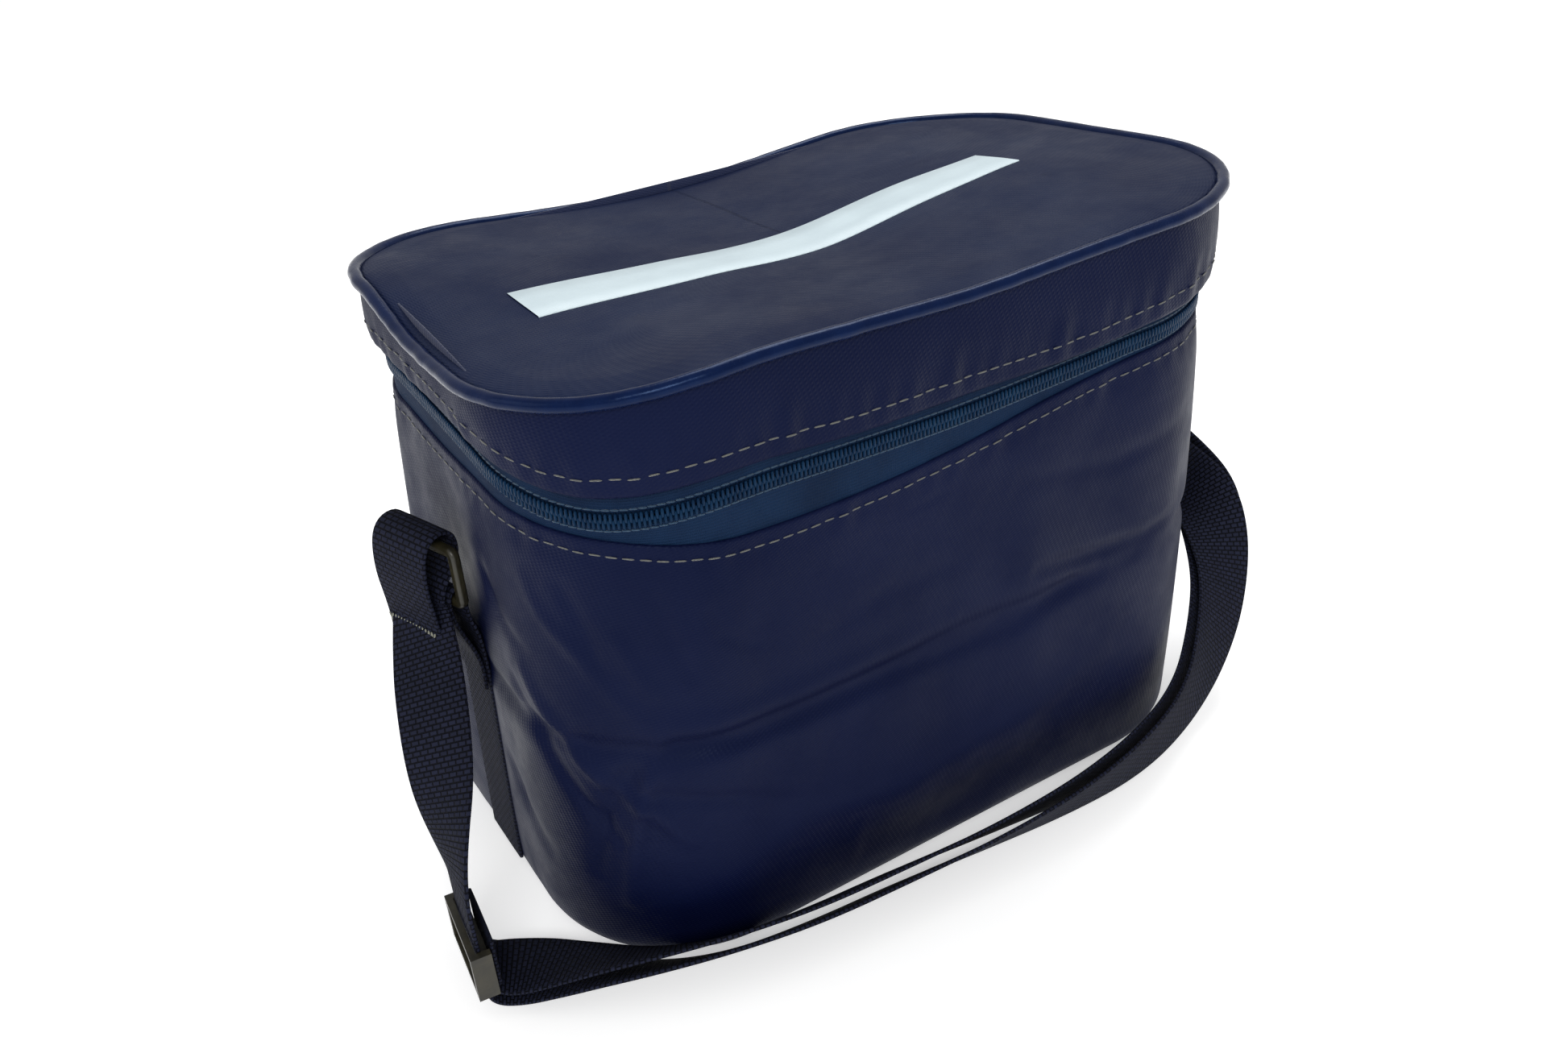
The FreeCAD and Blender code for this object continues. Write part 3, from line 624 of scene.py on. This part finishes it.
# creases: (points as x, y, height in mm), height of the ridge in mm (negative for a valley), half width in mm
CREASES = [
    ([(-117, -71, 75), (-99, -84, 89), (-59, -89, 87), (-15, -89, 86), (20, -89, 84), (62, -89, 92)], -2.0, 4.0),
    ([(-117, -71, 75), (-104, -82, 72), (-84, -89, 66), (-62, -89, 52)], -1.2, 3.2),
    ([(-110, -78, 98), (-80, -89, 97), (-40, -89, 97), (0, -89, 95)], 1.5, 5.0),
    ([(28, -89, 104), (51, -89, 99), (80, -89, 97), (103, -82, 99)], -2.1, 3.2),
    ([(46, -89, 92), (75, -89, 89), (104, -81, 92)], 1.3, 3.6),
    ([(-103, -82, 96), (-107, -80, 78), (-111, -76, 54), (-115, -73, 22)], 2.0, 2.8),
    ([(-110, -77, 86), (-117, -70, 62), (-122, -65, 34)], -1.7, 3.0),
    ([(-130, -45, 112), (-126, -58, 95), (-119, -69, 80), (-106, -81, 66), (-96, -86, 50)], 1.9, 2.8),
    ([(-131, -38, 104), (-128, -53, 86), (-122, -64, 68), (-113, -74, 50)], -1.6, 3.0),
    ([(-129, -50, 147), (-126, -58, 134), (-119, -69, 122), (-108, -79, 100)], 1.0, 2.6),
    ([(-122, -64, 148), (-118, -70, 132), (-114, -74, 110)], -1.0, 2.8),
    ([(-101, -83, 144), (-99, -84, 130), (-93, -87, 112)], -1.2, 2.4),
    ([(-88, -88, 138), (-84, -88, 127), (-74, -89, 118)], -0.9, 2.2),
    ([(-112, -76, 132), (-108, -79, 120), (-103, -82, 108)], 1.0, 2.6),
    ([(-60, -89, 112), (-30, -89, 118), (4, -89, 117)], -0.7, 4.0),
    ([(20, -89, 140), (60, -89, 132), (100, -84, 136)], -0.8, 4.0),
    ([(-40, -89, 20), (-5, -89, 14), (44, -89, 26)], -1.8, 10.0),
    ([(-90, -88, 30), (-60, -89, 44), (-20, -89, 38), (30, -89, 44), (66, -89, 58)], 1.2, 7.0),
    ([(-131, 30, 120), (-131, 38, 92), (-130, 45, 60)], -1.5, 4.0),
    ([(-131, -20, 60), (-131, -32, 44), (-128, -50, 34)], -1.4, 4.0),
    ([(-131, -22, 136), (-131, -34, 122), (-128, -52, 116)], -1.0, 3.0),
    ([(131, -30, 118), (131, -38, 96), (126, -58, 80), (116, -72, 76)], -1.8, 3.6),
    ([(131, -24, 60), (130, -44, 52), (122, -64, 56)], 1.2, 4.0),
    ([(131, 26, 96), (131, 38, 84), (127, 56, 80)], -1.5, 4.0),
    ([(-60, 89, 96), (-10, 89, 88), (40, 89, 92), (84, 88, 86)], -2.0, 4.2),
    ([(-92, 87, 60), (-60, 89, 66), (-20, 89, 64)], 1.4, 4.0),
    ([(92, 87, 120), (60, 89, 112), (30, 89, 114)], -1.3, 3.4),
    ([(-110, 77, 126), (-84, 88, 118), (-58, 89, 122)], -1.1, 3.0),
]
CREASE_LINES = []
for places, ridge, width in CREASES:
    track = [(u_at(x, y), z * MM) for x, y, z in places]
    CREASE_LINES.append((track, ridge * MM, width * MM))
WAVES = [(rng.uniform(0, 2 * math.pi), int(k), rng.uniform(-38, 38), a) for k, a in
         [(3, 0.45), (5, 0.40), (8, 0.30), (11, 0.24), (14, 0.20), (19, 0.13), (26, 0.09), (35, 0.06)]]
TUCKS = [(rng.uniform(0, 2 * math.pi), k) for k in (41, 57, 73, 97)]
BULGE = 3.0 * MM
FOOT_ROUND = 3.4 * MM


def pucker(u):
    """Small uneven gathers along a seam, from -1 to 1."""
    return sum(np.sin(2 * math.pi * k * u / ROUND + phase) for phase, k in TUCKS) / 2.4


def relief(u, z):
    """How far the body's cloth stands out from the straight wall."""
    rim = RIM(u)
    rise = np.clip(z / rim, 0, 1)
    belly = np.sin(math.pi * np.clip(rise, 0, 1) ** 0.8) ** 0.8
    webbing = bell((u - LEFT_MIDDLE) / (17 * MM)) + bell((u - RIGHT_MIDDLE) / (17 * MM))
    calm = 1 - np.clip(webbing, 0, 1)
    out = BULGE * belly * calm
    fade = np.clip(rise / 0.08, 0, 1) * np.clip((1 - rise) / 0.10, 0, 1) * calm
    for phase, k, lean, size in WAVES:
        out = out + fade * size * MM * np.sin(2 * math.pi * k * u / ROUND + phase + lean * z)
    for track, ridge, width in CREASE_LINES:
        distance, share = line_distance(u, z, track)
        ends = np.clip(np.sin(math.pi * np.clip(share, 0.0, 1.0)), 0, 1) ** 0.5
        out = out + fade * ridge * ends * bell(distance / width)
    seam = bell((z - rim + 5 * MM) / (4 * MM))
    out = out + calm * seam * (0.30 * pucker(u) - 0.35) * MM
    return np.where(z < rim - 14 * MM, np.maximum(out, 0.1 * MM), out)


def body_points(u, z, lift=0.0, flat=False):
    """Points on the body's cloth at u and height z, lifted outwards."""
    share = 1 - z / RIM_Z
    x, y, ox, oy = outline(u, RIM_X + BASE_FLARE_X * share, RIM_Y + BASE_FLARE_Y * share, CORNER)
    out = lift + (0 if flat else relief(u, z))
    return np.stack([x + ox * out, y + oy * out, z + 0 * x], -1)


def wall_rows(us, levels, lifts, flat=False):
    """Rows of points going round the body: one row for each height function and outward lift."""
    return [body_points(us, level(us) if callable(level) else np.full_like(us, level), lift, flat)
            for level, lift in zip(levels, lifts)]


def finish_piece(piece, body, nodes=()):
    """Hides the frame's parts that the piece replaces and parents it to the body that it moves with."""
    if nodes:
        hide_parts(*nodes)
    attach(piece, body)
    return piece


US = np.linspace(0, ROUND, 520, endpoint=False)


def body_cloth():
    """Outer cloth of the body, from a turned-in foot up over the folded rim."""
    rows = []
    for inset in (9.0, 6.0):
        rows.append(body_points(US, np.full_like(US, 0.25 * MM), -inset * MM, True))
    for angle in np.radians([0, 22, 45, 68]):
        z = 0.2 * MM + FOOT_ROUND * (1 - math.cos(angle))
        rows.append(body_points(US, np.full_like(US, z), -FOOT_ROUND * (1 - math.sin(angle)), True))
    top = RIM(US)
    for t in np.linspace(0.0, 1.0, 96)[1:]:
        z = 3.6 * MM + (top - 1.0 * MM - 3.6 * MM) * t
        rows.append(body_points(US, z))
    for lift, drop in ((-0.15, 0.4), (-0.7, 0.0), (-1.4, 0.1), (-1.9, 0.6)):
        edge = body_points(US, top - 1.0 * MM, lift * MM)
        edge[:, 2] = top - drop * MM
        rows.append(edge)
    inner = body_points(US, top - 1.0 * MM, -1.95 * MM)
    inner[:, 2] = top - 3.0 * MM
    rows.append(inner)
    piece = surface("body_cloth", rows, NAVY)
    return finish_piece(piece, "bag", ["outer_wall"])


body_cloth()

panel = [body_points(US, np.full_like(US, 0.45 * MM), -inset * MM, True) for inset in (8.0, 30.0, 60.0, 85.0)]
finish_piece(surface("base_cloth", panel, NAVY), "bag", ["base_panel"])


def closed_ring(name, sections, material):
    """Closed loft round the bag from (height function, lift) corners given in order."""
    rows = wall_rows(US, [level for level, lift in sections], [lift * MM for level, lift in sections], True)
    return surface(name, rows, material, round_rows=True)


def under_rim(drop):
    """Height function that follows the rim, drop mm below it."""
    return lambda u: RIM(u) - drop * MM


finish_piece(closed_ring("wall_foam_soft", [(7.9 * MM, -1.15), (under_rim(2.4), -2.1), (under_rim(2.4), -6.9),
                                            (7.9 * MM, -6.1)], FOAM), "bag", ["wall_foam"])
finish_piece(closed_ring("lining_wall", [(8.5 * MM, -6.9), (under_rim(2.4), -7.0), (under_rim(2.4), -7.6),
                                         (8.5 * MM, -7.5)], LINING), "bag", ["liner_wall"])
finish_piece(closed_ring("rim_tape", [(under_rim(10), -2.0), (under_rim(0.6), -2.0), (under_rim(0.0), -2.6),
                                      (under_rim(0.0), -7.6), (under_rim(0.6), -8.2), (under_rim(10), -8.2),
                                      (under_rim(10), -7.8), (under_rim(2.2), -7.8), (under_rim(2.2), -2.5),
                                      (under_rim(10), -2.5)], BINDING), "bag", ["rim_binding"])

# ---------------------------------------------------------------- lid
LID_POINTS = [(-99, -12, 202), (-33, -12, 200), (3, -12, 199), (30, -12, 203), (56, -12, 207), (85, -12, 210.0)]
PUFF = 1.6 * MM


def spline_surface():
    """Smooth surface through the piped edge and the heights along the middle of the lid."""
    us = np.linspace(0, ROUND, 64, endpoint=False)
    x, y, ox, oy = outline(us, LID_X - 2 * MM, LID_Y - 2 * MM, LID_CORNER)
    places = [(a, b) for a, b in zip(x, y)]
    heights = list(PIPING(us) + 0.6 * MM)
    for px, py, z in LID_POINTS:
        places.append((px * MM, py * MM))
        heights.append(z * MM - PUFF)
    places = np.array(places)
    n = len(places)

    def kernel(a, b):
        r2 = ((a[:, None] - b[None]) ** 2).sum(-1)
        return r2 * np.log(r2 + 1e-12)

    system = np.zeros((n + 3, n + 3))
    system[:n, :n] = kernel(places, places) + np.eye(n) * 1e-6
    system[:n, n] = 1
    system[:n, n + 1:] = places
    system[n, :n] = 1
    system[n + 1:, :n] = places.T
    weights = np.linalg.solve(system, np.concatenate([heights, np.zeros(3)]))

    def height(x, y):
        flat = np.stack([np.ravel(x), np.ravel(y)], 1)
        z = kernel(flat, places) @ weights[:n] + weights[n] + flat @ weights[n + 1:]
        return z.reshape(np.shape(x))

    return height


lid_shape = spline_surface()
DIMPLES = [(rng.uniform(-110, 110) * MM, rng.uniform(-70, 70) * MM, rng.uniform(12, 26) * MM,
            rng.uniform(-0.7, 0.7) * MM, rng.uniform(0, math.pi), rng.uniform(1.4, 3.0)) for _ in range(46)]


def lid_height(x, y, edge):
    """Height of the lid's cloth; edge is the distance in from the piped seam."""
    z = lid_shape(x, y) + PUFF * np.clip(edge / (9 * MM), 0, 1) ** 0.6
    fade = np.clip(edge / (14 * MM), 0, 1)
    for px, py, size, depth, angle, long in DIMPLES:
        dx = (x - px) * math.cos(angle) + (y - py) * math.sin(angle)
        dy = -(x - px) * math.sin(angle) + (y - py) * math.cos(angle)
        z = z + fade * depth * np.exp(-(dx / (size * long)) ** 2 - (dy / size) ** 2)
    return z


def lid_rows(us, insets, drop=0.0):
    """Rings of points over the lid, each at a distance in from the edge; the last ones close on a middle line."""
    rows = []
    for inset in insets:
        half_x = LID_X - 2.3 * MM - inset
        half_y = LID_Y - 2.3 * MM - inset
        radius = max(0.05 * MM, LID_CORNER - 2.3 * MM - inset) if half_y > 0.2 * MM else 0.05 * MM
        radius = min(radius, half_y)
        x, y, ox, oy = outline(us, half_x, half_y, radius)
        z = lid_height(x, y, np.full_like(x, inset))
        rows.append(np.stack([x, y, z - drop], -1))
    return rows


LID_INSETS = np.concatenate([np.linspace(0, 12, 13), np.linspace(15, 90.9, 40)]) * MM


def lid_pieces():
    """Cloth, foam, lining and binding of the lid, all following its saddle."""
    rows = lid_rows(US, LID_INSETS)
    first = rows[0].copy()
    first[:, 2] -= 1.6 * MM
    piece = surface("lid_cloth", [first] + rows, LID_NAVY_PAINTED_LIGHT)
    finish_piece(piece, "lid", ["lid_top"])
    slab = LID_INSETS[1::3]
    upper = lid_rows(US, slab, 1.3 * MM)
    lower = lid_rows(US, slab[::-1], 6.3 * MM)
    finish_piece(surface("lid_foam_soft", upper + lower, FOAM, round_rows=True), "lid", ["lid_foam"])
    ceiling = lid_rows(US, slab[::-1], 7.4 * MM)
    skirt = SKIRT_EDGE(US)
    x, y, ox, oy = outline(US, LID_X - 4.2 * MM, LID_Y - 4.2 * MM, LID_CORNER - 4 * MM)
    low = [np.stack([x, y, skirt + 9.5 * MM], -1), np.stack([x, y, lid_rows(US, [1.0 * MM], 8.6 * MM)[0][:, 2]], -1)]
    finish_piece(surface("lid_lining", ceiling + low[::-1], LINING), "lid", ["lid_liner"])
    trim = []
    for lift, rise in ((-5.2, 9.0), (-5.2, 19.0), (-4.7, 19.0), (-4.7, 9.0)):
        x, y, ox, oy = outline(US, LID_X + lift * MM, LID_Y + lift * MM, LID_CORNER + lift * MM)
        trim.append(np.stack([x, y, skirt + rise * MM], -1))
    finish_piece(surface("lid_trim", trim, BINDING, round_rows=True), "lid", ["lid_binding"])


lid_pieces()


def skirt_points(us, share, lift=0.0):
    """Points on the lid's skirt, from its edge at share 0 up to the piping at 1."""
    low = SKIRT_EDGE(us)
    high = PIPING(us) - 0.8 * MM
    z = low + (high - low) * share
    sway = 0.9 * MM * np.sin(math.pi * np.clip(share, 0, 1)) - 0.9 * MM * share
    sway = sway + 0.45 * MM * pucker(us + 0.02) * bell((share - 0.25) / 0.22)
    sway = sway + 0.5 * MM * np.sin(2 * math.pi * 9 * us / ROUND + 1.0) * (1 - share)
    x, y, ox, oy = outline(us, LID_X - 0.4 * MM, LID_Y - 0.4 * MM, LID_CORNER - 0.4 * MM)
    out = sway + lift
    return np.stack([x + ox * out, y + oy * out, z], -1)


def skirt():
    """Cloth that hangs from the piping, turned in along its lower edge."""
    rows = []
    for lift, rise in ((-2.0, 8.0), (-1.9, 1.0), (-1.5, 0.25), (-0.9, 0.0), (-0.3, 0.3)):
        row = skirt_points(US, 0.0, lift * MM)
        row[:, 2] += rise * MM
        rows.append(row)
    for share in np.linspace(0.04, 1.0, 26):
        rows.append(skirt_points(US, share))
    piece = surface("skirt_cloth", rows, NAVY)
    finish_piece(piece, "lid", ["lid_skirt"])


skirt()


def tube_round(name, us, centre_x, centre_y, centre_z, radius, material, sides=14):
    """Closed tube round the bag through the centre points."""
    centre = np.stack([centre_x, centre_y, centre_z], -1)
    along = unit(np.roll(centre, -1, 0) - np.roll(centre, 1, 0))
    outward = np.cross(along, [0, 0, 1.0])
    outward = unit(outward)
    upward = np.cross(outward, along)
    rows = []
    for k in range(sides):
        angle = 2 * math.pi * k / sides
        rows.append(centre + outward * (math.cos(angle) * radius) + upward * (math.sin(angle) * radius))
    return surface(name, rows, material, round_rows=True)


def piping():
    """Piping in the seam round the lid."""
    wobble = 0.10 * MM * pucker(US)
    x, y, ox, oy = outline(US, LID_X - 0.2 * MM, LID_Y - 0.2 * MM, LID_CORNER - 0.2 * MM)
    piece = tube_round("piping", US, x + ox * wobble, y + oy * wobble, PIPING(US), PIPING_RADIUS, PIPE_BLUE)
    finish_piece(piece, "lid", ["lid_piping"])


piping()


def band():
    """Plain pale band along the lid, where the frame puts it."""
    low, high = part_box("lid_band")
    xs = np.linspace(low.x, high.x, 120)
    rows = []
    for y, lift in ((low.y, 0.05), (low.y + 0.3 * MM, 0.38), ((low.y + high.y) / 2 - 4 * MM, 0.42),
                    ((low.y + high.y) / 2, 0.42), ((low.y + high.y) / 2 + 4 * MM, 0.42),
                    (high.y - 0.3 * MM, 0.38), (high.y, 0.05)):
        ys = np.full_like(xs, y)
        edge = np.minimum(LID_X - np.abs(xs), LID_Y - np.abs(ys))
        rows.append(np.stack([xs, ys, lid_height(xs, ys, edge) + lift * MM], -1))
    finish_piece(surface("pale_band", rows, BAND, round_columns=False), "lid", ["lid_band"])


band()

# ---------------------------------------------------------------- zip
CHAIN_START = KNOTS[1] + ARC * 0.48
TAPE_US = np.linspace(66 * MM, ROUND - 66 * MM, 460)


def zip_rows(us, levels, lift):
    """Rows of points round the rim at the given heights."""
    x, y, ox, oy = outline(us, RIM_X + lift, RIM_Y + lift, CORNER + lift)
    return [np.stack([x, y, level], -1) for level in levels]


def tapes():
    """Both zip tapes, tucked under the rim and the skirt."""
    low = RIM(TAPE_US) - 8 * MM
    chain = CHAIN(TAPE_US)
    high = SKIRT_EDGE(TAPE_US) + 9 * MM
    lower = zip_rows(TAPE_US, [low + (chain - 0.5 * MM - low) * t for t in np.linspace(0, 1, 6)], -1.0 * MM)
    lower += zip_rows(TAPE_US, [low + (chain - 0.5 * MM - low) * t for t in np.linspace(1, 0, 6)], -1.6 * MM)
    finish_piece(surface("tape_low", lower, TAPE, round_columns=False, round_rows=True, caps=True), "bag",
                 ["zip_tape_lower"])
    start = chain + 0.5 * MM
    upper = zip_rows(TAPE_US, [start + (high - start) * t for t in np.linspace(0, 1, 6)], -1.0 * MM)
    upper += zip_rows(TAPE_US, [start + (high - start) * t for t in np.linspace(1, 0, 6)], -1.6 * MM)
    finish_piece(surface("tape_high", upper, TAPE, round_columns=False, round_rows=True, caps=True), "lid",
                 ["zip_tape_upper"])


def teeth(name, offset, low, high, body, node):
    """One side of the nylon coil, from low to high in mm about the chain's line."""
    pitch = 1.42 * MM
    us = np.arange(CHAIN_START + offset, ROUND - CHAIN_START, pitch)
    x, y, ox, oy = outline(us, RIM_X - 0.35 * MM, RIM_Y - 0.35 * MM, CORNER - 0.35 * MM)
    z = CHAIN(us) + (low + high) / 2 * MM
    centres = np.stack([x, y, z], -1)
    along = np.tile([0, 0, 1.0], (len(us), 1))
    normals = np.stack([ox, oy, 0 * ox], -1)
    piece = capsules(name, centres, along, normals, (high - low) * MM, 0.56 * MM, 1.1, COIL)
    finish_piece(piece, body, [node])


def chain_stitch(name, shift, body):
    """Row of stitches that holds the coil to its tape."""
    us = np.arange(CHAIN_START, ROUND - CHAIN_START, 2.6 * MM)
    x, y, ox, oy = outline(us, RIM_X - 0.95 * MM, RIM_Y - 0.95 * MM, CORNER - 0.95 * MM)
    centres = np.stack([x, y, CHAIN(us) + shift * MM], -1)
    directions = np.stack([-oy, ox, 0 * ox], -1)
    normals = np.stack([ox, oy, 0 * ox], -1)
    finish_piece(capsules(name, centres, directions, normals, 2.45 * MM, 0.32 * MM, 0.8, ZIP_THREAD), body)


tapes()
teeth("coil_low", 0.0, -2.6, 0.6, "bag", "zip_coil_lower")
teeth("coil_high", 0.71 * MM, -0.6, 2.6, "lid", "zip_coil_upper")
chain_stitch("chain_stitch_low", -3.3, "bag")
chain_stitch("chain_stitch_high", 3.3, "lid")


# ---------------------------------------------------------------- hinge strip and seams
def hinge():
    """Strip of cloth at the rear, where the lid hinges on the body."""
    us = np.concatenate([np.linspace(ROUND - 75 * MM, ROUND, 40, endpoint=False), np.linspace(0, 75 * MM, 41)])
    rows = []
    for z, lift in ((152.0, 0.15), (152.2, 0.75), (158, 1.0), (163, 1.0), (167, 0.6), (170, 0.3), (173, 0.3),
                    (178, 0.6), (184, 0.6), (184, 0.0), (178, 0.0), (173, -0.3), (170, -0.3), (167, 0.0),
                    (163, 0.35), (158, 0.3)):
        x, y, ox, oy = outline(us, RIM_X, RIM_Y, CORNER)
        base = relief(us, np.full_like(us, min(z, 156) * MM))
        out = lift * MM + np.where(z < 166, base, 0)
        rows.append(np.stack([x, y + out, np.full_like(x, z * MM)], -1))
    piece = surface("hinge_cloth", rows, NAVY, round_columns=False, round_rows=True, caps=True)
    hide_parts("hinge_strip")
    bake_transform(piece)


hinge()


def stitches(name, us, points, normals, body, length=3.4 * MM, radius=0.29 * MM, thread=THREAD):
    directions = np.roll(points, -1, 0) - np.roll(points, 1, 0)
    directions[0] = points[1] - points[0]
    directions[-1] = points[-1] - points[-2]
    piece = capsules(name, points, directions, normals, length, radius, 0.7, thread)
    finish_piece(piece, body)


def outward_at(us):
    """Outward direction of the wall at each u."""
    x, y, ox, oy = outline(us, RIM_X, RIM_Y, CORNER)
    return np.stack([ox, oy, 0 * ox], -1)


seam_us = np.arange(0, ROUND, 4.7 * MM)
stitches("rim_stitches", seam_us, body_points(seam_us, RIM(seam_us) - 4.6 * MM, 0.12 * MM), outward_at(seam_us), "bag")
skirt_drop = PIPING(seam_us) - 0.8 * MM - SKIRT_EDGE(seam_us)
stitches("skirt_stitches", seam_us, skirt_points(seam_us, 6.2 * MM / skirt_drop, 0.12 * MM), outward_at(seam_us), "lid")


def loop_tack(name, s):
    """Bar tack that closes the strap's loop, on its outer face below the ring."""
    along = ring_along(s)
    outward = ring_outward(s)
    places = []
    directions = []
    for k, across in enumerate(np.linspace(-10.5, 10.5, 30)):
        places.append(ring_point(s, 9.9, RING_TOP - 27.5) + along * across * MM)
        directions.append(np.array([0, 0, 1.0]) + along * (0.4 if k % 2 else -0.4))
    piece = capsules(name, np.array(places), np.array(directions), np.tile(outward, (len(places), 1)), 3.0 * MM,
                     0.34 * MM, 0.9, TACK)
    finish_piece(piece, "bag")


loop_tack("strap_tack_left", -1)
loop_tack("strap_tack_right", 1)


# ---------------------------------------------------------------- carried-over parts
def dress(node, material):
    """Gives a part from the frame its material."""
    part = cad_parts[node]
    part.data.materials.clear()
    part.data.materials.append(material)


for node in ("ring_left", "ring_right", "strap_adjuster"):
    dress(node, PLASTIC)
for node in ("zip_slider", "zip_pull"):
    dress(node, METAL)
dress("base_board", BOARD)
dress("base_foam", FOAM)
dress("liner_floor", LINING)

# ---------------------------------------------------------------- floor and light
FLOOR = bpy.data.materials.new("studio_floor")
FLOOR.use_nodes = True
floor_shader = FLOOR.node_tree.nodes["Principled BSDF"].inputs
floor_shader["Base Color"].default_value = (0.86, 0.86, 0.86, 1)
floor_shader["Roughness"].default_value = 0.6
floor_shader["Emission Color"].default_value = (1, 1, 1, 1)
floor_shader["Emission Strength"].default_value = 0.42
FLOOR_REACH = 6
FLOOR_Z = -0.0002
floor_corners = [(x * FLOOR_REACH, y * FLOOR_REACH, FLOOR_Z) for x, y in ((-1, -1), (1, -1), (1, 1), (-1, 1))]
floor = new_object("floor", floor_corners, [(0, 1, 2, 3)], FLOOR)

world = bpy.data.worlds.new("studio")
world.use_nodes = True
world.node_tree.nodes["Background"].inputs["Color"].default_value = (1, 1, 1, 1)
world.node_tree.nodes["Background"].inputs["Strength"].default_value = 0.58
bpy.context.scene.world = world


def area_light(name, place, target, size, power):
    data = bpy.data.lights.new(name, "AREA")
    data.shape = "RECTANGLE"
    data.size = size[0]
    data.size_y = size[1]
    data.energy = power
    lamp = bpy.data.objects.new(name, data)
    bpy.context.collection.objects.link(lamp)
    lamp.location = place
    lamp.rotation_euler = (Vector(target) - Vector(place)).to_track_quat("-Z", "Y").to_euler()


area_light("key", (-0.7, -1.2, 1.1), (0, 0, 0.1), (0.7, 0.5), 12)
area_light("top", (0.5, 0.5, 1.4), (0, 0, 0.1), (0.9, 0.8), 12)
area_light("fill", (-1.4, 0.3, 0.8), (0, 0, 0.08), (0.8, 0.8), 1.5)
bpy.context.scene.view_settings.view_transform = "Standard"
